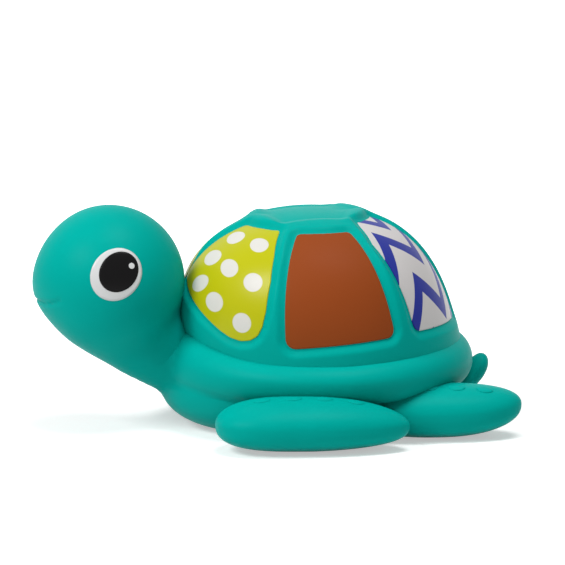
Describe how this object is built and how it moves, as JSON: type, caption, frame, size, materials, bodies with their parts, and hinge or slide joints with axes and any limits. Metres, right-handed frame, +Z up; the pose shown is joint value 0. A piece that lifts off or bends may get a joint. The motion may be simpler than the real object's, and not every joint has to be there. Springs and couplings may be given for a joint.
{
  "type": "turtle bath toy",
  "caption": "Soft vinyl turtle bath toy with a domed shell of patterned panels, a round head on a plug neck, flippers and a belly drain stopper.",
  "frame": {"origin": "on the flat of the belly, under the middle of the shell", "axes": "+X from the head to the tail, +Y to the turtle's right side, +Z up"},
  "size_m": [0.1464, 0.1228, 0.0704],
  "materials": {
    "teal_vinyl": "satin soft vinyl",
    "lime_print": "lime print with white dots, semi-gloss",
    "rust_print": "plain rust brown print, semi-gloss",
    "zigzag_print": "white print with blue zigzags, semi-gloss",
    "eye_white": "white print",
    "eye_black": "black print",
    "stopper_vinyl": "soft stopper"
  },
  "bodies": {
    "shell": {"belly_hull": "teal_vinyl", "carapace": "teal_vinyl", "panel_front_left": "lime_print", "panel_front_right": "lime_print", "panel_middle_left": "rust_print", "panel_middle_right": "rust_print", "panel_rear_left": "zigzag_print", "panel_rear_right": "zigzag_print", "flipper_front_left": "teal_vinyl", "flipper_front_right": "teal_vinyl", "flipper_rear_left": "teal_vinyl", "flipper_rear_right": "teal_vinyl", "tail": "teal_vinyl"},
    "head": {"head": "teal_vinyl", "eye_white_left": "eye_white", "eye_white_right": "eye_white", "eye_pupil_left": "eye_black", "eye_pupil_right": "eye_black", "eye_glint_left": "eye_white", "eye_glint_right": "eye_white"},
    "stopper": {"drain_stopper": "stopper_vinyl"}
  },
  "joints": [
    {"name": "head_swivel", "type": "hinge", "parent": "shell", "child": "head", "pos_m": [-0.0666, 0, 0.0464], "axis": [-0.6947, 0, 0.7193], "range_deg": [-35, 35]},
    {"name": "stopper_pull", "type": "slide", "parent": "shell", "child": "stopper", "axis": [0, 0, -1], "range_m": [0, 0.012]}
  ]
}
